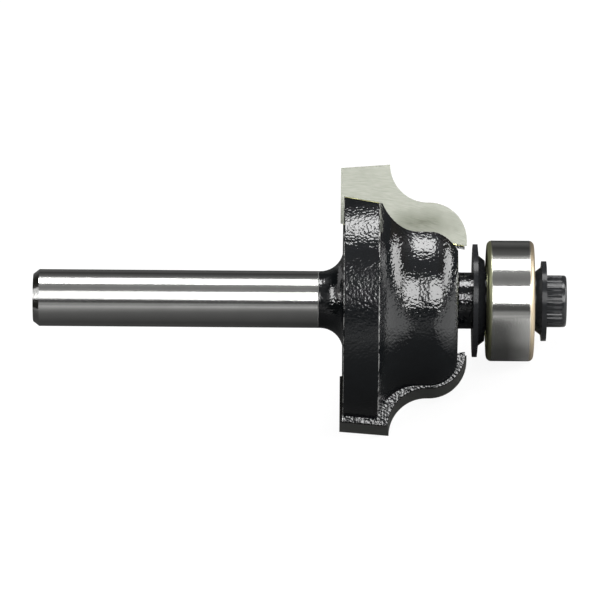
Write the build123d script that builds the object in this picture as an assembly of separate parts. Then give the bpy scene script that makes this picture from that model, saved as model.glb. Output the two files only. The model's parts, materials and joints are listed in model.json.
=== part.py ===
"""An ogee router bit with a ball-bearing pilot, as it comes to rest on a bench.

The bit's own axis is X: zero at the free end of the shank, growing towards the pilot.
Y is the line through the two cutting edges and Z is square to both. Each piece is drawn
in that frame, and the last section lays the whole bit down as it rests on a bench.
"""

import math
import os

from build123d import *

os.makedirs("parts", exist_ok=True)

# Shank and the flare that joins it to the head
shank_diameter = 6.0
shank_length = 30.2
shank_bevel_length = 0.65
shank_bevel_depth = 0.5
flare_radius = 2.4

# Cutting profile: a cove above a bead, both ending on the bearing's diameter
bearing_diameter = 12.7
bead_radius = 3.97
cove_radius = 3.97
neck_flat = 0.2
top_land = 5.18
top_land_drop = 0.39
tip_overhang = 0.3

# Carbide tips, brazed to the wings of the body
tip_thickness = 2.0
rake_offset = 1.0
edge_clearance = 1.1
side_clearance = 0.15
front_land = 0.1
inner_edge_back = 8.05
inner_edge_front = 5.75
braze_gap = 0.1

# Turned head of the body; the disc's diameter is at its front edge
disc_diameter = 25.96
disc_thickness = 3.7
disc_edge_break = 0.12
turned_clearance = 0.66
turned_cove_gap = 0.23
face_setback = 1.07

# Wings behind the tips and gullets before them
wing_step = 0.05
wing_thickness = 0.5
seat_lip = 0.4
gullet_width = 7.5
gullet_depth = 1.4
gullet_shoulder = 2.77
gullet_root_radius = 0.6
gullet_floor_radius = 2.0

# Spigot that carries the pilot
spigot_diameter = 5.94
spigot_length = 1.65
spigot_fillet = 0.3
journal_fit = 0.005
journal_setback = 0.08
thread_diameter = 3.0
thread_fit = 0.01
thread_spare = 1.2

# Rear dust washer
rear_washer_diameter = 11.9
rear_washer_rim = 0.5
rear_washer_dish = 0.12
rear_boss_diameter = 9.5
rear_boss_end_diameter = 8.5
rear_boss_length = 0.64
rear_hub_length = 0.19

# Ball bearing, 3/16 by 1/2 by 0.196 inch
bearing_bore = 4.762
bearing_width = 4.978
bearing_corner = 0.55
bore_corner = 0.2
ball_share = 0.6
ball_count = 7
ball_clearance = 0.01
groove_conformity = 1.03
groove_share = 0.176

# Pressed ribbon cage
cage_sheet = 0.2
cage_share = 0.315
pocket_clearance = 0.04
rivet_diameter = 0.36
rivet_head = 0.12

# Shields and the snap rings that hold them
shield_sheet = 0.2
shield_recess_share = 0.6408
shield_seat_share = 0.076
shield_gap = 0.08
shield_fit = 0.02
snap_wire = 0.24
snap_groove = 0.14
snap_opening = 20.0

# Front washer and pilot screw
front_washer_diameter = 8.42
front_washer_rim = 0.52
front_boss_diameter = 7.25
front_boss_end_diameter = 6.3
front_boss_length = 0.6
front_hub_length = 0.2
hub_diameter = 6.2
washer_bore_fit = 0.1
screw_length = 8.0
head_diameter = 5.45
head_height = 2.13
head_edge = 0.3
socket_flats = 2.0
socket_depth = 1.2
knurl_count = 36
knurl_depth = 0.09
knurl_end = 0.5

# Places along the axis, each from the one before
shank_radius = shank_diameter / 2
pilot_radius = bearing_diameter / 2
neck_radius = pilot_radius + bead_radius
cutting_radius = neck_radius + cove_radius
disc_back = shank_length + flare_radius
disc_front = disc_back + disc_thickness
disc_radius = disc_diameter / 2
disc_back_radius = disc_radius - disc_thickness * top_land_drop / top_land
tip_back = disc_back - tip_overhang
cove_centre = tip_back + top_land + cove_radius
bead_centre = cove_centre + neck_flat
tip_front = bead_centre + bead_radius
body_face = tip_front - face_setback
spigot_end = body_face + spigot_length
rear_boss_start = spigot_end + rear_washer_rim + rear_washer_dish
rear_boss_end = rear_boss_start + rear_boss_length
bearing_back = rear_boss_end + rear_hub_length
bearing_front = bearing_back + bearing_width
bearing_middle = (bearing_back + bearing_front) / 2
front_boss_start = bearing_front + front_hub_length
front_rim_start = front_boss_start + front_boss_length
head_back = front_rim_start + front_washer_rim
head_front = head_back + head_height
journal_radius = bearing_bore / 2 - journal_fit
journal_end = bearing_front - journal_setback
thread_radius = thread_diameter / 2
hole_bottom = head_back - screw_length - thread_spare
tip_rear_plane = -rake_offset - tip_thickness
seat_plane = tip_rear_plane - braze_gap
wing_plane = seat_plane - wing_thickness
half_turn = Rot(180, 0, 0)
beyond = cutting_radius


def inner_edge(x, below=0.0):
    """Height of the tip's straight inner edge at x, or of a line that far below it."""
    slope = (inner_edge_front - inner_edge_back) / (tip_front - tip_back)
    return inner_edge_back + slope * (x - tip_back) - below


def turned(points_and_edges):
    """A solid of revolution about the bit's axis from a closed half section."""
    return revolve(make_face(points_and_edges), Axis.X)


def turned_polygon(points):
    """The same from the corners of a half section with straight sides."""
    return turned(Polyline(*points, close=True))


def layer(outline, front, back):
    """The outline, drawn in the XY plane, as a slab from the height front to the height back."""
    return extrude(Pos(0, 0, back) * outline, front - back)


def profile_outline(start, drop, side_gap, below=0.0):
    """The cutting profile lowered and drawn in at its sides, closed along the inner edge."""
    top = cutting_radius - drop
    waist = neck_radius - drop
    bead = bead_radius - side_gap
    bead_middle = waist - bead
    foot = max(bead_middle, inner_edge(tip_front) + front_land)
    end = bead_centre + math.sqrt(bead**2 - (foot - bead_middle) ** 2)
    corner_reach = math.sqrt((cove_radius + side_gap) ** 2 - side_gap**2)
    low_start = (start, inner_edge(start, below))
    high_start = (start, top - top_land_drop)
    corner = (cove_centre - corner_reach, top)
    waist_start = (cove_centre, waist)
    waist_end = (bead_centre, waist)
    bead_end = (end, foot)
    low_end = (end, inner_edge(end, below))
    edges = [
        Line(low_start, high_start),
        Line(high_start, corner),
        TangentArc(waist_start, corner, tangent=(-1, 0)),
        Line(waist_start, waist_end),
        TangentArc(waist_end, bead_end, tangent=(1, 0)),
        Line(bead_end, low_end),
        Line(low_end, low_start),
    ]
    return make_face(edges)


def carbide_tip():
    """A flat rake face and a smaller rear face, joined by ruled relief faces."""
    rake_face = profile_outline(tip_back, 0.0, 0.0)
    rear_face = profile_outline(tip_back, edge_clearance, side_clearance)
    return loft([Pos(0, 0, -rake_offset) * rake_face, Pos(0, 0, tip_rear_plane) * rear_face], ruled=True)


def above_inner_edge(below):
    """Everything outside a line parallel to the tip's inner edge, well past the bit."""
    start = tip_back - beyond
    end = tip_front + beyond
    corners = [
        (start, inner_edge(start, below)),
        (start, 2 * beyond),
        (end, 2 * beyond),
        (end, inner_edge(end, below)),
    ]
    return make_face(Polyline(*corners, close=True))


def wing_outline(below):
    """Outline of the steel wing: the rear of the tip less a small step."""
    return profile_outline(disc_back, edge_clearance + wing_step, side_clearance + wing_step, below)


def braze_seam():
    """Solder under the tip and behind it, as one thin bent layer."""
    behind = layer(wing_outline(braze_gap), tip_rear_plane, seat_plane)
    end = tip_front - face_setback
    strip = [
        (disc_back, inner_edge(disc_back)),
        (end, inner_edge(end)),
        (end, inner_edge(end, braze_gap)),
        (disc_back, inner_edge(disc_back, braze_gap)),
    ]
    under = layer(make_face(Polyline(*strip, close=True)), -rake_offset, seat_plane)
    return behind + under


def gullet():
    """Slot before a rake face, its floor and its faced-off shoulder parallel to the tip's inner edge."""
    start = tip_back - beyond
    end = tip_front + beyond
    floor_start = Vector(start, inner_edge(start, gullet_depth), 0)
    floor_end = Vector(end, inner_edge(end, gullet_depth), 0)
    along = floor_end - floor_start
    section = Plane(origin=floor_start, x_dir=(0, 0, -1), z_dir=along)
    middle = rake_offset - gullet_width / 2
    slot = Pos(middle, beyond) * Rectangle(gullet_width, 2 * beyond)
    low_corners = slot.vertices().group_by(Axis.Y)[0].sort_by(Axis.X)
    slot = fillet(low_corners[-1], gullet_root_radius)
    low_corners = slot.vertices().group_by(Axis.Y)[0].sort_by(Axis.X)
    slot = fillet(low_corners[0], gullet_floor_radius)
    shoulder = layer(above_inner_edge(-gullet_shoulder), beyond, -rake_offset)
    return extrude(section * slot, along.length) + shoulder


def turned_body():
    """Shank, flare, disc, cove, bead, spigot and journal, turned from one bar."""
    broken_radius = disc_radius - disc_edge_break
    broken_back_radius = disc_back_radius - disc_edge_break
    neck = neck_radius - turned_clearance
    cove = cove_radius + turned_cove_gap
    cove_run = math.sqrt(cove**2 - (neck + cove - broken_radius) ** 2)
    bead = bead_radius - turned_clearance
    bead_rise = math.sqrt(bead**2 - (body_face - bead_centre) ** 2)
    spigot = spigot_diameter / 2
    face_radius = neck - bead + bead_rise
    bevel_radius = shank_radius - shank_bevel_depth
    edges = [
        Line((0, 0), (0, bevel_radius)),
        Line((0, bevel_radius), (shank_bevel_length, shank_radius)),
        Line((shank_bevel_length, shank_radius), (shank_length, shank_radius)),
        TangentArc((shank_length, shank_radius), (disc_back, shank_radius + flare_radius), tangent=(1, 0)),
        Line((disc_back, shank_radius + flare_radius), (disc_back, broken_back_radius)),
        Line((disc_back, broken_back_radius), (disc_back + disc_edge_break, disc_back_radius)),
        Line((disc_back + disc_edge_break, disc_back_radius), (disc_front - disc_edge_break, disc_radius)),
        Line((disc_front - disc_edge_break, disc_radius), (disc_front, broken_radius)),
        TangentArc((disc_front + cove_run, neck), (disc_front, broken_radius), tangent=(-1, 0)),
        Line((disc_front + cove_run, neck), (bead_centre, neck)),
        TangentArc((bead_centre, neck), (body_face, face_radius), tangent=(1, 0)),
        Line((body_face, face_radius), (body_face, spigot + spigot_fillet)),
        TangentArc((body_face + spigot_fillet, spigot), (body_face, spigot + spigot_fillet), tangent=(-1, 0)),
        Line((body_face + spigot_fillet, spigot), (spigot_end, spigot)),
        Line((spigot_end, spigot), (spigot_end, journal_radius)),
        Line((spigot_end, journal_radius), (journal_end, journal_radius)),
        Line((journal_end, journal_radius), (journal_end, 0)),
        Line((journal_end, 0), (0, 0)),
    ]
    return turned(edges)


def bit_body():
    """The one-piece steel body: turned, winged, slotted and tapped for the screw."""
    wing = layer(wing_outline(seat_lip), -rake_offset, wing_plane)
    slot = gullet()
    pocket = layer(above_inner_edge(braze_gap), -rake_offset, seat_plane)
    hole = thread_radius + thread_fit
    drill_point = hole_bottom - hole / math.tan(math.radians(59))
    corners = [(drill_point, 0), (hole_bottom, hole), (journal_end, hole), (journal_end, 0)]
    body = turned_body() + wing + half_turn * wing
    body -= slot
    body -= half_turn * slot
    body -= pocket
    body -= half_turn * pocket
    return body - turned_polygon(corners)


def rear_dust_washer():
    """Wide washer that shades the bearing, with a hub on the inner ring."""
    bore = journal_radius + journal_fit
    rim = rear_washer_diameter / 2
    corners = [
        (spigot_end, bore),
        (spigot_end, rim),
        (spigot_end + rear_washer_rim, rim),
        (rear_boss_start, rear_boss_diameter / 2),
        (rear_boss_end, rear_boss_end_diameter / 2),
        (rear_boss_end, hub_diameter / 2),
        (bearing_back, hub_diameter / 2),
        (bearing_back, bore),
    ]
    return turned_polygon(corners)


def front_washer():
    """Smaller washer under the screw head, its cone towards the bearing."""
    bore = thread_radius + washer_bore_fit
    rim = front_washer_diameter / 2
    corners = [
        (bearing_front, bore),
        (bearing_front, hub_diameter / 2),
        (front_boss_start, hub_diameter / 2),
        (front_boss_start, front_boss_end_diameter / 2),
        (front_rim_start, front_boss_diameter / 2),
        (front_rim_start, rim),
        (head_back, rim),
        (head_back, bore),
    ]
    return turned_polygon(corners)


# Circles that the bearing is built on, shares of the height of its section
bearing_section = (bearing_diameter - bearing_bore) / 2
ball_radius = ball_share * bearing_section / 2
groove_depth = groove_share * 2 * ball_radius
cage_band = cage_share * 2 * ball_radius
shield_seat = shield_seat_share * bearing_section
pitch_radius = (bearing_bore + bearing_diameter) / 4
groove_radius = ball_radius * groove_conformity
inner_floor = pitch_radius - ball_radius - ball_clearance
outer_floor = pitch_radius + ball_radius + ball_clearance
inner_land = inner_floor + groove_depth
outer_land = outer_floor - groove_depth
recess_radius = outer_land + shield_seat
cage_reach = ball_radius + pocket_clearance + cage_sheet
shield_recess = shield_recess_share * (bearing_width / 2 - cage_reach - shield_sheet)


def groove_track(floor, side):
    """Ring with a round section that rolls out a raceway; side is 1 inside and -1 outside."""
    centre = Pos(bearing_middle, floor + side * groove_radius)
    return revolve(centre * Circle(groove_radius), Axis.X)


def bearing_inner_ring():
    """Ring on the spigot's journal, clamped between the two washers."""
    bore = bearing_bore / 2
    corners = [
        (bearing_back, bore + bore_corner),
        (bearing_back, inner_land),
        (bearing_front, inner_land),
        (bearing_front, bore + bore_corner),
        (bearing_front - bore_corner, bore),
        (bearing_back + bore_corner, bore),
    ]
    return turned_polygon(corners) - groove_track(inner_floor, 1)


def bearing_outer_ring():
    """Ring that rolls along the work, rounded outside and stepped for the shields."""
    shield_step = shield_recess + shield_sheet
    outside = Rectangle(bearing_width, pilot_radius - outer_land)
    outside = Pos(bearing_middle, (pilot_radius + outer_land) / 2) * outside
    ring = revolve(fillet(outside.vertices().group_by(Axis.Y)[-1], bearing_corner), Axis.X)
    for face, inward in ((bearing_back, 1), (bearing_front, -1)):
        step = [
            (face, 0),
            (face, recess_radius),
            (face + inward * shield_step, recess_radius),
            (face + inward * shield_step, 0),
        ]
        groove = [
            (face + inward * (shield_recess - snap_wire), 0),
            (face + inward * (shield_recess - snap_wire), recess_radius + snap_groove),
            (face + inward * shield_recess, recess_radius + snap_groove),
            (face + inward * shield_recess, 0),
        ]
        ring -= turned_polygon(step)
        ring -= turned_polygon(groove)
    return ring - groove_track(outer_floor, -1)


def shield(face, inward):
    """Flat ring seated in the outer ring's step, clear of the inner ring."""
    near = face + inward * shield_recess
    far = near + inward * shield_sheet
    low = inner_land + shield_gap
    high = recess_radius - shield_fit
    return turned_polygon([(near, low), (near, high), (far, high), (far, low)])


def snap_ring(face, inward):
    """Split wire ring that springs into the groove in front of its shield."""
    near = face + inward * (shield_recess - snap_wire)
    far = face + inward * shield_recess
    high = recess_radius + snap_groove
    low = high - snap_wire - snap_groove
    section = make_face(Polyline((near, low), (near, high), (far, high), (far, low), close=True))
    ring = revolve(section, Axis.X, revolution_arc=360 - snap_opening)
    return ring


def ball_turn(number):
    """Turn about the bit's axis that carries the first ball to the numbered one."""
    return Rot(360 * number / ball_count, 0, 0)


def ball(number):
    """One ball, resting between the raceways on the pitch circle."""
    return ball_turn(number) * Pos(bearing_middle, pitch_radius) * Sphere(ball_radius)


def cage_half(side):
    """One pressed half of the ribbon cage, bent round every ball; side is 1 to the front."""
    low = pitch_radius - cage_band / 2
    high = pitch_radius + cage_band / 2
    pocket = ball_radius + pocket_clearance
    bend = pocket + cage_sheet
    middle = bearing_middle
    sheet_end = middle + side * cage_sheet
    bend_end = middle + side * bend
    flat = turned_polygon([(middle, low), (middle, high), (sheet_end, high), (sheet_end, low)])
    room = turned_polygon([(middle, low), (middle, high), (bend_end, high), (bend_end, low)])
    upright = Rot(90, 0, 0)
    rivet_hole = Cylinder(rivet_diameter / 2, 2 * bend, rotation=(0, 90, 0))
    bends = []
    hollows = []
    holes = []
    for number in range(ball_count):
        place = ball_turn(number) * Pos(middle, pitch_radius) * upright
        bends.append(place * Cylinder(bend, 2 * cage_band))
        hollows.append(place * Cylinder(pocket, 2 * cage_band))
        holes.append(ball_turn(number + 0.5) * Pos(middle, pitch_radius) * rivet_hole)
    cage = flat + [ribbon & room for ribbon in bends]
    return cage - hollows - holes


def cage_rivets():
    """Rivets through both halves between the balls, a little proud of the sheet."""
    rivet = Cylinder(rivet_diameter / 2, 2 * (cage_sheet + rivet_head), rotation=(0, 90, 0))
    rivets = []
    for number in range(ball_count):
        place = ball_turn(number + 0.5) * Pos(bearing_middle, pitch_radius)
        rivets.extend((place * rivet).solids())
    return Compound(rivets)


def pilot_screw():
    """Low cap screw with a straight knurl and a hexagon socket."""
    head_radius = head_diameter / 2
    thread_end = head_back - screw_length
    point = thread_radius / 3
    edges = [
        Line((thread_end, 0), (thread_end, thread_radius - point)),
        Line((thread_end, thread_radius - point), (thread_end + point, thread_radius)),
        Line((thread_end + point, thread_radius), (head_back, thread_radius)),
        Line((head_back, thread_radius), (head_back, head_radius)),
        Line((head_back, head_radius), (head_front - head_edge, head_radius)),
        TangentArc((head_front - head_edge, head_radius), (head_front, head_radius - head_edge), tangent=(1, 0)),
        Line((head_front, head_radius - head_edge), (head_front, 0)),
        Line((head_front, 0), (thread_end, 0)),
    ]
    screw = turned(edges)
    half_pitch = math.pi * head_radius / knurl_count
    notch = Polyline(
        (0, head_radius - knurl_depth),
        (half_pitch * 0.7, head_radius + knurl_depth / 2),
        (-half_pitch * 0.7, head_radius + knurl_depth / 2),
        close=True,
    )
    face_plane = Plane(origin=(head_back, 0, 0), x_dir=(0, 1, 0), z_dir=(1, 0, 0))
    knurl_length = head_height - knurl_end
    notches = []
    for number in range(knurl_count):
        turned_notch = Rot(0, 0, 360 * number / knurl_count) * make_face(notch)
        notches.append(extrude(face_plane * turned_notch, knurl_length))
    socket_plane = Plane(origin=(head_front - socket_depth, 0, 0), x_dir=(0, 1, 0), z_dir=(1, 0, 0))
    socket = extrude(socket_plane * RegularPolygon(socket_flats / 2, 6, major_radius=False), socket_depth)
    return screw - notches - socket


# Every piece of the bit by its name
tip = carbide_tip()
seam = braze_seam()
pieces = {
    "bit_body": bit_body(),
    "carbide_tip_1": tip,
    "carbide_tip_2": half_turn * tip,
    "braze_seam_1": seam,
    "braze_seam_2": half_turn * seam,
    "rear_dust_washer": rear_dust_washer(),
    "bearing_inner_ring": bearing_inner_ring(),
    "bearing_outer_ring": bearing_outer_ring(),
    "rear_shield": shield(bearing_back, 1),
    "front_shield": shield(bearing_front, -1),
    "rear_snap_ring": snap_ring(bearing_back, 1),
    "front_snap_ring": snap_ring(bearing_front, -1),
    "cage_half_rear": cage_half(-1),
    "cage_half_front": cage_half(1),
    "cage_rivets": cage_rivets(),
    "front_washer": front_washer(),
    "pilot_screw": pilot_screw(),
}
for number in range(ball_count):
    pieces[f"ball_{number + 1}"] = ball(number)

# At rest the bit has rolled until one cutting corner stops it: that corner, the front corner of
# the disc beside the gullet and the front corner of the bearing touch the bench. Each pass brings
# the three nearer to one plane; a corner too short to reach the bench points straight down
tip_corner_x = tip_back + top_land
tip_corner_reach = math.hypot(cutting_radius, rake_offset)
disc_corner_x = disc_front - disc_edge_break
disc_corner_turn = math.acos(inner_edge(disc_corner_x, -gullet_shoulder) / disc_radius)
bearing_corner_x = bearing_front - bearing_corner
bearing_corner_radius = pilot_radius - bearing_corner
contact_passes = 20
swing = disc_corner_turn
for _ in range(contact_passes):
    corner_drop = disc_radius * math.cos(disc_corner_turn - swing) - bearing_corner_radius
    corner_run = bearing_corner_x - disc_corner_x
    lean = math.atan2(corner_drop, corner_run) - math.asin(bearing_corner / math.hypot(corner_drop, corner_run))
    bench = bearing_corner_x * math.sin(lean) + bearing_corner_radius * math.cos(lean) + bearing_corner
    bench_at_corner = (bench - tip_corner_x * math.sin(lean)) / math.cos(lean)
    reach_share = min(1, bench_at_corner / tip_corner_reach)
    swing = math.acos(reach_share) - math.asin(rake_offset / tip_corner_reach)
leaning = Rot(0, math.degrees(lean), 0) * Rot(90 - math.degrees(swing), 0, 0)
solids = [solid for piece in pieces.values() for solid in piece.solids()]
box = (leaning * Compound(solids)).bounding_box()
resting = Pos(-box.center().X, -box.center().Y, -box.min.Z) * leaning

for name, piece in pieces.items():
    export_step(resting * piece, f"parts/{name}.step")
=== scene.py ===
"""An ogee router bit with a ball-bearing pilot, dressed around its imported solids."""

import json
import math

import bpy
from mathutils import Matrix, Vector


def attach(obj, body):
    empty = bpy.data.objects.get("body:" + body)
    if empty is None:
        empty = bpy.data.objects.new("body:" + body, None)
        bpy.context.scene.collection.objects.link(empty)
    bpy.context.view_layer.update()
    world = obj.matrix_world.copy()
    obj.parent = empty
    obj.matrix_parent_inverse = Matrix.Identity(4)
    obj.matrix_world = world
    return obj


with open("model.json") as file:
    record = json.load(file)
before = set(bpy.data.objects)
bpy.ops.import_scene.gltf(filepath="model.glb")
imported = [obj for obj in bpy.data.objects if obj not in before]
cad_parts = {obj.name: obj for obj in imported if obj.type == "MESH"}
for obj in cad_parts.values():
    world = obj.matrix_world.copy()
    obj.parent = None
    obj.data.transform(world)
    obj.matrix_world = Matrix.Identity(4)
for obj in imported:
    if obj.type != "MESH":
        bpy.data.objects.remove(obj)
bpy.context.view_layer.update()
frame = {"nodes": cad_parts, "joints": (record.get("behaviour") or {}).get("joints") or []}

# The bit's own frame and the camera. The bit lies on one cutting corner, its disc and its bearing.
# Its own X runs along its axis from the free end of the shank, Y through the two cutting edges and
# Z square to both. The camera looks along that Z, and the axis falls a little to the right.
mm = 0.001
bearing_middle_x = 50.139 * mm
camera_distance = 0.7
nearest_seen = 0.01
farthest_seen = 20.0
view_width = 63.16 * mm
view_middle_x = 28.07 * mm
view_middle_y = -0.063 * mm
sensor_width = 36.0
axis_fall = math.radians(0.42)


def placed(right, up, back, origin):
    """Matrix of an object whose own axes point along the three directions given."""
    turned = Matrix((right, up, back)).transposed().to_4x4()
    return Matrix.Translation(origin) @ turned


# The first ball lies on the bit's own Y, seen from the bearing's middle.
hinges = {hinge["name"]: hinge for hinge in frame["joints"]}
bearing_middle = Vector(hinges["bearing_spin"]["pos_m"])
forward = Vector(hinges["bearing_spin"]["axis"]).normalized()
across = (Vector(hinges["ball_1_roll"]["pos_m"]) - bearing_middle).normalized()
outward = forward.cross(across).normalized()
shank_end = bearing_middle - forward * bearing_middle_x
bit_frame = placed(forward, across, outward, shank_end)

view_middle = shank_end + forward * view_middle_x + across * view_middle_y
eye = view_middle + outward * camera_distance
picture_right = math.cos(axis_fall) * forward + math.sin(axis_fall) * across
picture_up = math.cos(axis_fall) * across - math.sin(axis_fall) * forward
lens = bpy.data.cameras.new("long lens")
lens.sensor_width = sensor_width
lens.lens = sensor_width * camera_distance / view_width
lens.clip_start = nearest_seen
lens.clip_end = farthest_seen
camera = bpy.data.objects.new("camera", lens)
camera.matrix_world = placed(picture_right, picture_up, outward, eye)
bpy.context.scene.collection.objects.link(camera)
bpy.context.scene.camera = camera
bpy.context.scene.view_settings.view_transform = "Standard"

# The softboxes. A strong strip box hangs high over the bit. A dim box beside the camera lights the
# shank and the disc, and a strong one carries it on past the head, towards the pilot. Two boxes
# shine along the bit, one low past the pilot and one behind the shank, on the flare.
lamp_distance = 0.8
high_box = dict(angle=73.5, wide=21.5, radiance=10.5, start=-0.12, end=0.24)
near_box = dict(angle=11.5, wide=31.0, radiance=1.8, start=-0.05, end=0.06)
far_near_box = dict(angle=11.5, wide=30.0, radiance=9.5, start=0.06, end=0.85)
head_middle_x = 35 * mm
end_box = dict(length=0.3, width=0.16, radiance=7.0)
end_box_distance = 0.34
end_box_side = Vector((1.0, 0.0, 0.12)).normalized()
end_box_length_side = Vector((0.0, 1.0, 0.0))
shank_box = dict(length=0.38, width=0.2, radiance=8.0)
shank_box_distance = 0.6
shank_box_side = (0.4 * outward + 0.25 * across - 0.9 * forward).normalized()


def softbox(name, direction, along, length, width, radiance, middle):
    """Flat lamp that shines against a direction, its long side along a given line."""
    lamp = bpy.data.lights.new(name, "AREA")
    lamp.shape = "RECTANGLE"
    lamp.size = length
    lamp.size_y = width
    lamp.energy = radiance * math.pi * length * width
    back = direction.normalized()
    long_side = (along - along.dot(back) * back).normalized()
    piece = bpy.data.objects.new(name, lamp)
    piece.matrix_world = placed(long_side, back.cross(long_side), back, middle)
    piece.visible_camera = False
    bpy.context.scene.collection.objects.link(piece)


def strip_box(name, angle, wide, radiance, start, end):
    """Softbox along the bit, turned from the viewer towards the upper cutting edge."""
    turn = math.radians(angle)
    direction = math.cos(turn) * outward + math.sin(turn) * across
    width = 2 * lamp_distance * math.tan(math.radians(wide) / 2)
    middle = shank_end + forward * (start + end) / 2 + direction * lamp_distance
    softbox(name, direction, forward, end - start, width, radiance, middle)


strip_box("high softbox", **high_box)
strip_box("near softbox", **near_box)
strip_box("far near softbox", **far_near_box)
head_middle = shank_end + forward * head_middle_x
end_place = head_middle + end_box_side * end_box_distance
softbox("end softbox", end_box_side, end_box_length_side, middle=end_place, **end_box)
shank_place = head_middle + shank_box_side * shank_box_distance
softbox("shank softbox", shank_box_side, across, middle=shank_place, **shank_box)

# The room. White to the camera. To the bit it is a dim studio whose light changes with the angle
# round the bit's axis: grey between the softboxes, dark low down and behind. It is warmer past the
# pilot, and almost black behind the shank but for one grey card.
room_steps = (
    (-180, 0.03), (-110, 0.03), (-60, 0.08), (-40, 0.27), (-22, 0.34), (-18, 0.08),
    (-9, 0.08), (-5, 0.24), (32, 0.28), (42, 0.22), (56, 0.28), (66, 0.5),
    (84, 0.8), (98, 0.14), (122, 0.05), (140, 0.12), (180, 0.1),
)
end_starts = 0.3
end_is_full = 0.75
pilot_light = (0.16, 0.13, 0.09, 1)
shank_light = (0.015, 0.015, 0.012, 1)
card_light = (0.7, 0.7, 0.7, 1)
card_low = -0.05
card_high = 0.4
white = (1, 1, 1, 1)
mix_sockets = {"FLOAT": (0, 2, 3, 0), "RGBA": (0, 6, 7, 2)}


def join(tree, value, socket):
    """Sets a socket to a value, or links another node's output to it."""
    if isinstance(value, bpy.types.NodeSocket):
        tree.links.new(value, socket)
    else:
        socket.default_value = value


def node(tree, kind, inputs=None, **settings):
    """New node with its settings and inputs; an input is a value or another node's output."""
    made = tree.nodes.new(kind)
    for name, value in settings.items():
        setattr(made, name, value)
    for name, value in (inputs or {}).items():
        join(tree, value, made.inputs[name])
    return made


def level(tree, operation, *values):
    """Output of a Math node."""
    return node(tree, "ShaderNodeMath", dict(enumerate(values)), operation=operation).outputs[0]


def product(tree, first, *rest):
    """Output of Math nodes that multiply several levels."""
    for value in rest:
        first = level(tree, "MULTIPLY", first, value)
    return first


def rise(tree, value, low, high, to_low=0.0, to_high=1.0):
    """Output of a Map Range node that goes from one level to another between two values."""
    inputs = {0: value, 1: low, 2: high, 3: to_low, 4: to_high}
    return node(tree, "ShaderNodeMapRange", inputs).outputs[0]


def ramp(tree, place, stops):
    """Output of a grey ramp through stops of (place, value)."""
    made = node(tree, "ShaderNodeValToRGB", {0: place})
    keys = made.color_ramp.elements
    while len(keys) < len(stops):
        keys.new(1.0)
    for key, (where, value) in zip(keys, stops):
        key.position = where
        key.color = (value, value, value, 1.0)
    return made.outputs[0]


def mixed(tree, kind, share, first, second):
    """Output of a Mix node of floats or colours."""
    made = node(tree, "ShaderNodeMix", data_type=kind)
    *inputs, result = mix_sockets[kind]
    for index, value in zip(inputs, (share, first, second)):
        join(tree, value, made.inputs[index])
    return made.outputs[result]


def vector_level(tree, operation, first, second):
    """Output of a Vector Math node that makes one number of two vectors."""
    made = node(tree, "ShaderNodeVectorMath", {0: first, 1: second}, operation=operation)
    return made.outputs["Value"]


room = bpy.data.worlds.new("studio")
bpy.context.scene.world = room
room.use_nodes = True
sky = room.node_tree
sky.nodes.clear()
heading = node(sky, "ShaderNodeTexCoord").outputs["Generated"]
to_right = vector_level(sky, "DOT_PRODUCT", heading, forward)
to_top = vector_level(sky, "DOT_PRODUCT", heading, across)
to_eye = vector_level(sky, "DOT_PRODUCT", heading, outward)
turn = rise(sky, level(sky, "ARCTAN2", to_top, to_eye), -math.pi, math.pi)
dim = ramp(sky, turn, [((angle + 180) / 360, value) for angle, value in room_steps])
dim = mixed(sky, "RGBA", rise(sky, to_right, end_starts, end_is_full), dim, pilot_light)
over_low = level(sky, "GREATER_THAN", to_top, card_low)
under_high = level(sky, "LESS_THAN", to_top, card_high)
on_card = product(sky, over_low, under_high)
shank_side = mixed(sky, "RGBA", on_card, shank_light, card_light)
dim = mixed(sky, "RGBA", rise(sky, to_right, -end_starts, -end_is_full), dim, shank_side)
dim_room = node(sky, "ShaderNodeBackground", {"Color": dim}).outputs[0]
white_room = node(sky, "ShaderNodeBackground", {"Color": white}).outputs[0]
to_camera = node(sky, "ShaderNodeLightPath").outputs["Is Camera Ray"]
seen = node(sky, "ShaderNodeMixShader", {0: to_camera, 1: dim_room, 2: white_room})
node(sky, "ShaderNodeOutputWorld", {"Surface": seen.outputs[0]})

# The bench. A pale board. The camera sees it white, with the bit's soft shadow on it. Polished
# steel sees the same board darker, with painted shade next to the bit that lightens towards the
# viewer, and a painted pool of light past the pilot.
bench_half = 0.6
bench_corners = ((-1, -1), (1, -1), (1, 1), (-1, 1))
bench_colour = (0.12, 0.12, 0.12, 1)
camera_glow = 0.91
diffuse_glow = 0.15
mirror_glow = 0.02
viewer_side = -0.2
painted_shade_steps = ((0.0, 0.03), (0.05, 0.04), (0.18, 0.07), (0.5, 0.2), (0.8, 0.28))
pool_start = 17 * mm
pool_full = 27 * mm
pool_middle = (40 * mm, -36 * mm, 0.0)
pool_inner = 28 * mm
pool_outer = 60 * mm
painted_pool_light = 0.8
bench_mesh = bpy.data.meshes.new("bench")
bench_points = [(x * bench_half, y * bench_half, 0) for x, y in bench_corners]
bench_mesh.from_pydata(bench_points, [], [(0, 1, 2, 3)])
bench = bpy.data.objects.new("bench", bench_mesh)
bpy.context.scene.collection.objects.link(bench)
board = bpy.data.materials.new("pale board")
board.use_nodes = True
tree = board.node_tree
tree.nodes.clear()
paths = node(tree, "ShaderNodeLightPath").outputs
floor_place = node(tree, "ShaderNodeTexCoord").outputs["Object"]
spot = node(tree, "ShaderNodeSeparateXYZ", {0: floor_place}).outputs
# Painted shade: the colour that mirrors see is darkest next to the bit and lightens towards the
# viewer.
painted_viewer_shade = ramp(tree, rise(tree, spot["Y"], 0.0, viewer_side), painted_shade_steps)
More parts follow.
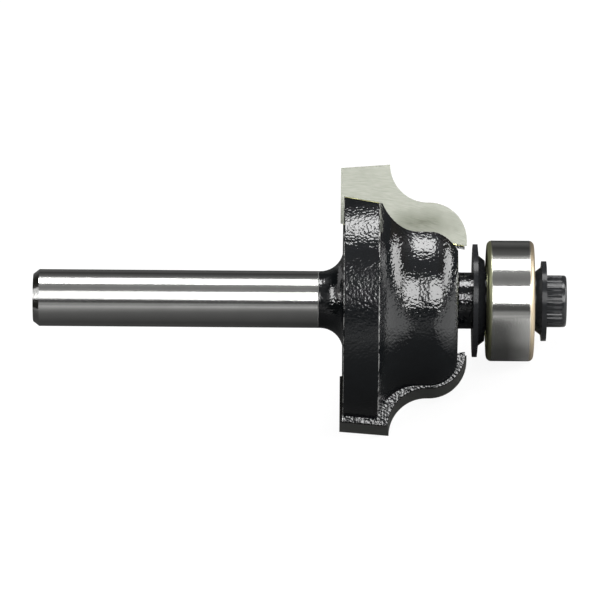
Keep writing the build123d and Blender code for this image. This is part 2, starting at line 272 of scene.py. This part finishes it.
# Painted pool of light: the colour that mirrors see is raised in a round patch past the pilot.
past_pilot = rise(tree, spot["X"], pool_start, pool_full)
off_pool = vector_level(tree, "DISTANCE", floor_place, pool_middle)
in_painted_pool = rise(tree, off_pool, pool_outer, pool_inner, 0.0, painted_pool_light)
pool = product(tree, past_pilot, in_painted_pool)
plain = node(tree, "ShaderNodeBsdfDiffuse", {"Color": bench_colour}).outputs[0]
painted_mirror_shade_and_light = level(tree, "MAXIMUM", painted_viewer_shade, pool)
shaded = node(tree, "ShaderNodeBsdfDiffuse", {"Color": painted_mirror_shade_and_light}).outputs[0]
mirrored = level(tree, "MAXIMUM", paths["Is Glossy Ray"], paths["Is Transmission Ray"])
lit = node(tree, "ShaderNodeMixShader", {0: mirrored, 1: plain, 2: shaded}).outputs[0]
glow = product(tree, paths["Is Camera Ray"], camera_glow)
glow = level(tree, "MULTIPLY_ADD", paths["Is Diffuse Ray"], diffuse_glow, glow)
glow = level(tree, "MULTIPLY_ADD", mirrored, mirror_glow, glow)
shine = node(tree, "ShaderNodeEmission", {"Color": white, "Strength": glow}).outputs[0]
both = node(tree, "ShaderNodeAddShader", {0: lit, 1: shine}).outputs[0]
node(tree, "ShaderNodeOutputMaterial", {"Surface": both})
bench_mesh.materials.append(board)

# The body. One steel forging, turned, slotted and winged, its head dipped in black enamel that
# dries with a fine wrinkle. The shank is ground bright afterwards, so the enamel ends where the
# flare begins; the disc's rims are worn to steel, and solder shows as a line beside each tip.
enamel_start = 30.0 * mm
enamel_fade = 0.1 * mm
enamel_edge_scale = 2500.0
enamel_edge_wander = 0.12 * mm
enamel_dark = (0.0025, 0.003, 0.0035, 1)
enamel_light = (0.0045, 0.0056, 0.0065, 1)
enamel_index = 1.6
enamel_roughness = 0.05
wrinkle_scale = 3600.0
swell_scale = 900.0
wrinkle_height = 0.044 * mm
disc_back = 32.6 * mm
disc_front = 36.3 * mm
rim_radius = 12.5 * mm
rim_wear = 0.055 * mm
rim_wear_scale = 1400.0
rim_wear_least = 0.42
rim_wear_most = 0.62
rim_shine = 0.7
rim_roughness = 0.55
tip_back = 32.3 * mm
tip_bed = 8.05 * mm
tip_bed_slope = -0.1727
shoulder_height = 2.77 * mm
rake_depth = 1.0 * mm
squeezed = 0.07 * mm
squeezed_gap = 0.008 * mm
fillet = 0.22 * mm
neck_end = 44.3 * mm
neck_least = 4.0 * mm
seam_yellow = (0.7, 0.69, 0.32, 1)
seam_roughness = 0.4
steel_dark = (0.6, 0.6, 0.585, 1)
steel_light = (0.7, 0.7, 0.685, 1)
steel_roughness = 0.07
scratch_roughness = 0.1
scratch_height = 0.1
shank_marks = dict(Stretch=(2.0, 1.0, 1.0), Scale=4500.0, Patch_Scale=400.0)


def feed(tree, shader, **inputs):
    """Sets or links sockets of a node by name, with _ for a space."""
    for name, value in inputs.items():
        join(tree, value, shader.inputs[name.replace("_", " ")])


def new_material(name):
    """Material with a plain principled shader, its tree and its place in the bit's own frame."""
    made = bpy.data.materials.new(name)
    made.use_nodes = True
    tree = made.node_tree
    tree.nodes.clear()
    shader = node(tree, "ShaderNodeBsdfPrincipled")
    node(tree, "ShaderNodeOutputMaterial", {"Surface": shader.outputs[0]})
    to_bit = bit_frame.inverted()
    where = {"Location": to_bit.to_translation(), "Rotation": to_bit.to_euler()}
    where["Vector"] = node(tree, "ShaderNodeTexCoord").outputs["Object"]
    return made, tree, shader, node(tree, "ShaderNodeMapping", where).outputs[0]


def dress(made, *names):
    """Gives CAD nodes a material."""
    for name in names:
        piece = frame["nodes"][name]
        if not piece.material_slots:
            piece.data.materials.append(made)
        for slot in piece.material_slots:
            slot.material = made


def noise(tree, place, scale, detail=2.0, roughness=0.5):
    """Output of a noise texture, its scale in waves to the metre."""
    inputs = {"Vector": place, "Scale": scale, "Detail": detail, "Roughness": roughness}
    return node(tree, "ShaderNodeTexNoise", inputs).outputs[0]


def bump(tree, height, distance):
    """Normal of a surface raised by a height in units of a distance."""
    inputs = {"Height": height, "Distance": distance, "Strength": 1.0}
    return node(tree, "ShaderNodeBump", inputs).outputs[0]


def from_axis(tree, first, second):
    """Distance from an axis, from its two parts square to the axis and to each other."""
    squares = [level(tree, "POWER", part, 2.0) for part in (first, second)]
    return level(tree, "SQRT", level(tree, "ADD", *squares))


def new_tree(kind, name, inputs, outputs):
    """Node group with named inputs of (name, kind, value) and named outputs of (name, kind)."""
    made = bpy.data.node_groups.new(name, kind)
    for label, socket_kind, value in inputs:
        socket = made.interface.new_socket(label, in_out="INPUT", socket_type=socket_kind)
        if value is not None:
            socket.default_value = value
    for label, socket_kind in outputs:
        made.interface.new_socket(label, in_out="OUTPUT", socket_type=socket_kind)
    given = made.nodes.new("NodeGroupInput").outputs
    return made, given, made.nodes.new("NodeGroupOutput").inputs


grinding, given, result = new_tree(
    "ShaderNodeTree", "grinding marks",
    (
        ("Place", "NodeSocketVector", None),
        ("Stretch", "NodeSocketVector", (1.0, 1.0, 1.0)),
        ("Scale", "NodeSocketFloat", 4000.0),
        ("Patch Scale", "NodeSocketFloat", 500.0),
    ),
    (("Scratches", "NodeSocketFloat"), ("Patches", "NodeSocketFloat")),
)
stretched = {0: given["Place"], 1: given["Stretch"]}
drawn = node(grinding, "ShaderNodeVectorMath", stretched, operation="MULTIPLY").outputs[0]
scratches = noise(grinding, drawn, given["Scale"], detail=3.0, roughness=0.6)
grinding.links.new(scratches, result["Scratches"])
grinding.links.new(noise(grinding, given["Place"], given["Patch Scale"]), result["Patches"])


def ground(tree, place, **inputs):
    """Grinding marks placed in a material with its own values."""
    made = node(tree, "ShaderNodeGroup", node_tree=grinding)
    feed(tree, made, Place=place, **inputs)
    return made.outputs


enamel, tree, shader, place = new_material("black enamel and ground shank")
spot = node(tree, "ShaderNodeSeparateXYZ", {0: place}).outputs
along = spot["X"]
wander = noise(tree, place, enamel_edge_scale)
edge = level(tree, "MULTIPLY_ADD", wander, enamel_edge_wander, along)
coated = rise(tree, edge, enamel_start, enamel_start + enamel_fade)

far_out = level(tree, "GREATER_THAN", from_axis(tree, spot["Y"], spot["Z"]), rim_radius)
at_front = level(tree, "COMPARE", along, disc_front, rim_wear)
at_back = level(tree, "COMPARE", along, disc_back, rim_wear)
at_rim = level(tree, "MAXIMUM", at_front, at_back)
rubs = noise(tree, place, rim_wear_scale, detail=3.0)
rubbed = rise(tree, rubs, rim_wear_least, rim_wear_most, 0.0, rim_shine)
worn = product(tree, at_rim, far_out, rubbed)
still_black = product(tree, coated, level(tree, "SUBTRACT", 1.0, worn))
steel_share = level(tree, "SUBTRACT", 1.0, still_black)

height = level(tree, "ABSOLUTE", spot["Y"])
turned_z = product(tree, spot["Z"], level(tree, "SIGN", spot["Y"]))
past_tip_back = level(tree, "SUBTRACT", along, tip_back)
bed = level(tree, "MULTIPLY_ADD", past_tip_back, tip_bed_slope, tip_bed + shoulder_height)
under_bed = level(tree, "SUBTRACT", bed, height)
at_shoulder = product(
    tree,
    level(tree, "GREATER_THAN", under_bed, squeezed_gap),
    level(tree, "LESS_THAN", under_bed, squeezed),
    level(tree, "GREATER_THAN", turned_z, -rake_depth),
    level(tree, "LESS_THAN", along, disc_front),
)
at_neck = product(
    tree,
    level(tree, "COMPARE", turned_z, fillet / 2 - rake_depth, fillet / 2),
    level(tree, "GREATER_THAN", height, neck_least),
    level(tree, "GREATER_THAN", along, disc_front),
    level(tree, "LESS_THAN", along, neck_end),
)
seam = product(tree, level(tree, "MAXIMUM", at_shoulder, at_neck), coated)

wrinkle = noise(tree, place, wrinkle_scale, detail=1.0, roughness=0.4)
swell = noise(tree, place, swell_scale, detail=1.0)
skin = level(tree, "ADD", swell, wrinkle)
marks = ground(tree, place, **shank_marks)
lines = product(tree, marks["Scratches"], scratch_height)
steel = mixed(tree, "RGBA", marks["Patches"], steel_dark, steel_light)
black = mixed(tree, "RGBA", swell, enamel_dark, enamel_light)
bare = mixed(tree, "RGBA", steel_share, black, steel)
rough = level(tree, "MULTIPLY_ADD", marks["Scratches"], scratch_roughness, steel_roughness)
rough = level(tree, "MULTIPLY_ADD", worn, rim_roughness, rough)
rough_coat = mixed(tree, "FLOAT", seam, enamel_roughness, seam_roughness)
relief = mixed(tree, "FLOAT", steel_share, skin, lines)
feed(
    tree, shader,
    Base_Color=mixed(tree, "RGBA", seam, bare, seam_yellow),
    Metallic=level(tree, "MAXIMUM", steel_share, seam),
    Roughness=mixed(tree, "FLOAT", steel_share, rough_coat, rough),
    IOR=enamel_index,
    Normal=bump(tree, relief, wrinkle_height),
)
dress(enamel, "bit_body")

# The carbide tips. Two sintered carbide plates, brazed into the wings. Their rake faces are ground
# bright on a fine wheel; the relief faces and the backs stay dark from the furnace and the dip.
rake_band = 0.06 * mm
rake_roughness = 0.45
rake_scratch_roughness = 0.2
rake_dark = (0.23, 0.24, 0.205, 1)
rake_light = (0.32, 0.328, 0.29, 1)
rake_scratch_contrast = 2.4
rake_cloud_contrast = 0.8
rake_tone_offset = -1.1
cloud_scale = 450.0
relief_colour = (0.34, 0.35, 0.33, 1)
relief_roughness = 0.42
back_depth = 2.9 * mm
back_colour = (0.012, 0.012, 0.012, 1)
wheel_x = 33.0 * mm
wheel_y = -24.0 * mm
wheel_drawn_out = 0.12
wheel_marks = dict(Scale=7000.0, Patch_Scale=900.0)
wheel_mark_height = 0.008 * mm
stain_colour = (0.1, 0.106, 0.08, 1)
stain_stretch = 0.36
stain_middle = (14.7 * mm, 8.1 * mm, 0.0)
stain_edge = 1.7 * mm
stain_wobble = 1.1 * mm
stain_share = 0.8
stain_streaks = 1.8
carbide, tree, shader, place = new_material("ground carbide")
spot = node(tree, "ShaderNodeSeparateXYZ", {0: place}).outputs
height = level(tree, "ABSOLUTE", spot["Y"])
deep = level(tree, "ABSOLUTE", spot["Z"])
rake = level(tree, "COMPARE", deep, rake_depth, rake_band)
back = level(tree, "GREATER_THAN", deep, back_depth)
run = level(tree, "SUBTRACT", spot["X"], wheel_x)
arc = from_axis(tree, run, level(tree, "SUBTRACT", height, wheel_y))
on_wheel = {0: product(tree, run, wheel_drawn_out), 1: arc, 2: spot["Z"]}
wheel_place = node(tree, "ShaderNodeCombineXYZ", on_wheel).outputs[0]
on_face = {0: product(tree, spot["X"], stain_stretch), 1: height}
face_place = node(tree, "ShaderNodeCombineXYZ", on_face).outputs[0]
marks = ground(tree, wheel_place, **wheel_marks)
clouds = noise(tree, place, cloud_scale)
off_stain = vector_level(tree, "DISTANCE", face_place, stain_middle)
off_stain = level(tree, "MULTIPLY_ADD", marks["Patches"], stain_wobble, off_stain)
off_stain = level(tree, "MULTIPLY_ADD", clouds, stain_wobble, off_stain)
stain = rise(tree, off_stain, stain_wobble + stain_edge, stain_wobble, 0.0, stain_share)
stain = product(tree, stain, product(tree, marks["Scratches"], stain_streaks))
tone = level(tree, "MULTIPLY_ADD", clouds, rake_cloud_contrast, rake_tone_offset)
tone = level(tree, "MULTIPLY_ADD", marks["Scratches"], rake_scratch_contrast, tone)
bright = mixed(tree, "RGBA", tone, rake_dark, rake_light)
bright = mixed(tree, "RGBA", stain, bright, stain_colour)
dull = mixed(tree, "RGBA", back, relief_colour, back_colour)
rough = level(tree, "MULTIPLY_ADD", marks["Scratches"], rake_scratch_roughness, rake_roughness)
feed(
    tree, shader,
    Base_Color=mixed(tree, "RGBA", rake, dull, bright),
    Metallic=1.0,
    Roughness=mixed(tree, "FLOAT", rake, relief_roughness, rough),
    Normal=bump(tree, marks["Scratches"], wheel_mark_height),
)
dress(carbide, "carbide_tip_1", "carbide_tip_2")

# The solder. A thin bent layer of silver solder under and behind each tip. It shows as a pale
# yellow line where it squeezed out between the carbide and the wing.
solder_dark = (0.6, 0.58, 0.16, 1)
solder_light = (0.85, 0.84, 0.45, 1)
solder_metal = 0.7
solder_roughness = 0.35
solder_lump_scale = 2600.0
solder_lump_height = 0.03 * mm
solder, tree, shader, place = new_material("silver solder")
lumps = noise(tree, place, solder_lump_scale)
feed(
    tree, shader,
    Base_Color=mixed(tree, "RGBA", lumps, solder_dark, solder_light),
    Metallic=solder_metal,
    Roughness=solder_roughness,
    Normal=bump(tree, lumps, solder_lump_height),
)
dress(solder, "braze_seam_1", "braze_seam_2")

# The bearing. Hardened chrome steel rings and balls, ground and honed to a mirror. The rounded
# corners of the outer ring are rougher, and carry a painted reflection in their colour: olive at
# the rear corner, towards the shank, and a warmer beige at the front one, towards the pilot.
bearing_width = 4.978 * mm
bearing_corner = 0.55 * mm
corner_starts = bearing_width / 2 - 1.1 * bearing_corner
corner_is_full = bearing_width / 2 - 0.7 * bearing_corner
race_dark = (0.6, 0.6, 0.575, 1)
race_light = (0.7, 0.7, 0.68, 1)
race_roughness = 0.05
race_scratch_roughness = 0.1
race_marks = dict(Stretch=(5.0, 0.8, 0.8), Scale=2600.0, Patch_Scale=600.0)
race_mark_height = 0.003 * mm
rear_corner_reflection = (0.36, 0.37, 0.22, 1)
front_corner_reflection = (0.5, 0.42, 0.3, 1)
corner_roughness = 0.42
race, tree, shader, place = new_material("polished bearing steel")
along = node(tree, "ShaderNodeSeparateXYZ", {0: place}).outputs["X"]
offside = level(tree, "ABSOLUTE", level(tree, "SUBTRACT", along, bearing_middle_x))
corner = rise(tree, offside, corner_starts, corner_is_full)
marks = ground(tree, place, **race_marks)
polished = mixed(tree, "RGBA", marks["Patches"], race_dark, race_light)
rear = level(tree, "LESS_THAN", along, bearing_middle_x)
# Painted reflection: each corner's colour stands in for the room it mirrors, olive behind and beige
# past the pilot.
painted_corner_reflection = mixed(tree, "RGBA", rear, front_corner_reflection, rear_corner_reflection)
rough = level(tree, "MULTIPLY_ADD", marks["Scratches"], race_scratch_roughness, race_roughness)
feed(
    tree, shader,
    Base_Color=mixed(tree, "RGBA", corner, polished, painted_corner_reflection),
    Metallic=1.0,
    Roughness=mixed(tree, "FLOAT", corner, rough, corner_roughness),
    Normal=bump(tree, marks["Scratches"], race_mark_height),
)
balls = [name for name in frame["nodes"] if name.startswith("ball_")]
dress(race, "bearing_outer_ring", "bearing_inner_ring", *balls)

# The shields. Flat rings of satin steel sheet that close the bearing, one on each side, held behind
# split rings.
shield_dark = (0.42, 0.42, 0.41, 1)
shield_light = (0.56, 0.56, 0.55, 1)
shield_roughness = 0.3
shield_scratch_roughness = 0.15
shield_mark_scale = 5000.0
shield_mark_height = 0.002 * mm
satin, tree, shader, place = new_material("satin shield steel")
marks = ground(tree, place, Scale=shield_mark_scale)
feed(
    tree, shader,
    Base_Color=mixed(tree, "RGBA", marks["Patches"], shield_dark, shield_light),
    Metallic=1.0,
    Roughness=level(
        tree, "MULTIPLY_ADD", marks["Scratches"], shield_scratch_roughness, shield_roughness
    ),
    Normal=bump(tree, marks["Scratches"], shield_mark_height),
)
dress(satin, "rear_shield", "front_shield")

# The cage and the split rings. The balls run in a ribbon cage, pressed in two halves from bright
# sheet and closed with small rivets. Split wire rings hold the shields in their steps.
wire_dark = (0.5, 0.5, 0.48, 1)
wire_light = (0.68, 0.68, 0.66, 1)
wire_roughness = 0.18
wire_scratch_roughness = 0.15
wire_patch_scale = 800.0
wire, tree, shader, place = new_material("bright sheet and wire")
marks = ground(tree, place, Patch_Scale=wire_patch_scale)
feed(
    tree, shader,
    Base_Color=mixed(tree, "RGBA", marks["Patches"], wire_dark, wire_light),
    Metallic=1.0,
    Roughness=level(
        tree, "MULTIPLY_ADD", marks["Scratches"], wire_scratch_roughness, wire_roughness
    ),
)
dress(wire, "rear_snap_ring", "front_snap_ring", "cage_half_rear", "cage_half_front", "cage_rivets")

# The washers and the screw. Turned steel, blackened in hot oil: a washer behind the bearing, one
# before it, and the socket screw that clamps the three.
oxide_dark = (0.007, 0.0073, 0.008, 1)
oxide_light = (0.02, 0.021, 0.023, 1)
oxide_roughness = 0.06
oxide_mottle_roughness = 0.25
oxide_mottle_scale = 1500.0
oxide_mottle_height = 0.6
turning_marks = dict(Stretch=(6.0, 0.8, 0.8), Scale=2500.0, Patch_Scale=600.0)
turning_mark_height = 0.006 * mm
washer_index = 1.27
screw_index = 1.42


def oil_blackened(name, index):
    """Blackened turned steel, mottled by the oil; a well-wiped piece has a lower index."""
    made, tree, shader, place = new_material(name)
    mottle = noise(tree, place, oxide_mottle_scale, detail=4.0, roughness=0.6)
    marks = ground(tree, place, **turning_marks)
    relief = level(tree, "MULTIPLY_ADD", mottle, oxide_mottle_height, marks["Scratches"])
    feed(
        tree, shader,
        Base_Color=mixed(tree, "RGBA", mottle, oxide_dark, oxide_light),
        Metallic=0.0,
        IOR=index,
        Roughness=level(tree, "MULTIPLY_ADD", mottle, oxide_mottle_roughness, oxide_roughness),
        Normal=bump(tree, relief, turning_mark_height),
    )
    return made


blackened = oil_blackened("oil-blackened screw steel", screw_index)
dress(blackened, "pilot_screw")
wiped = oil_blackened("oil-blackened washer steel", washer_index)
dress(wiped, "rear_dust_washer", "front_washer")

# The knurl. The screw's head is rolled with a straight knurl, low rounded ridges between the
# notches, so that fingers can start it. They are bars of the same blackened steel, sunk in the
# crests of the head.
knurl_count = 36
knurl_start = 53.97 * mm
knurl_length = 1.55 * mm
knurl_bar = 0.075 * mm
knurl_proud = 0.02 * mm
head_radius = 2.725 * mm
bar_sides = 10
ridges, given, result = new_tree(
    "GeometryNodeTree", "straight knurl",
    (
        ("Count", "NodeSocketInt", knurl_count),
        ("Circle Radius", "NodeSocketFloat", head_radius + knurl_proud - knurl_bar),
        ("Bar Radius", "NodeSocketFloat", knurl_bar),
        ("Bar Length", "NodeSocketFloat", knurl_length),
        ("Material", "NodeSocketMaterial", None),
    ),
    (("Geometry", "NodeSocketGeometry"),),
)
bar_sizes = {"Vertices": bar_sides, "Radius": given["Bar Radius"], "Depth": given["Bar Length"]}
bar = node(ridges, "GeometryNodeMeshCylinder", bar_sizes).outputs["Mesh"]
circle_sizes = {"Vertices": given["Count"], "Radius": given["Circle Radius"]}
circle = node(ridges, "GeometryNodeMeshCircle", circle_sizes).outputs[0]
bars = node(ridges, "GeometryNodeInstanceOnPoints", {"Points": circle, "Instance": bar}).outputs[0]
real = node(ridges, "GeometryNodeRealizeInstances", {0: bars}).outputs[0]
smooth = node(ridges, "GeometryNodeSetShadeSmooth", {"Geometry": real}).outputs[0]
finish = {"Geometry": smooth, "Material": given["Material"]}
coloured = node(ridges, "GeometryNodeSetMaterial", finish).outputs[0]
ridges.links.new(coloured, result["Geometry"])

maker = bpy.data.objects.new("knurl maker", bpy.data.meshes.new("knurl maker"))
bpy.context.scene.collection.objects.link(maker)
repeats = maker.modifiers.new("knurl", "NODES")
repeats.node_group = ridges
for item in ridges.interface.items_tree:
    if item.in_out == "INPUT" and item.name == "Material":
        repeats[item.identifier] = blackened
evaluated = maker.evaluated_get(bpy.context.evaluated_depsgraph_get())
knurl_mesh = bpy.data.meshes.new_from_object(evaluated)
maker.modifiers.remove(repeats)
bpy.data.objects.remove(maker)
half_step = Matrix.Rotation(math.pi / knurl_count, 4, "Z")
knurl_middle = shank_end + forward * (knurl_start + knurl_length / 2)
knurl_mesh.transform(placed(across, outward, forward, knurl_middle) @ half_step)
knurl = bpy.data.objects.new("screw_knurl", knurl_mesh)
bpy.context.scene.collection.objects.link(knurl)
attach(knurl, "cutter")
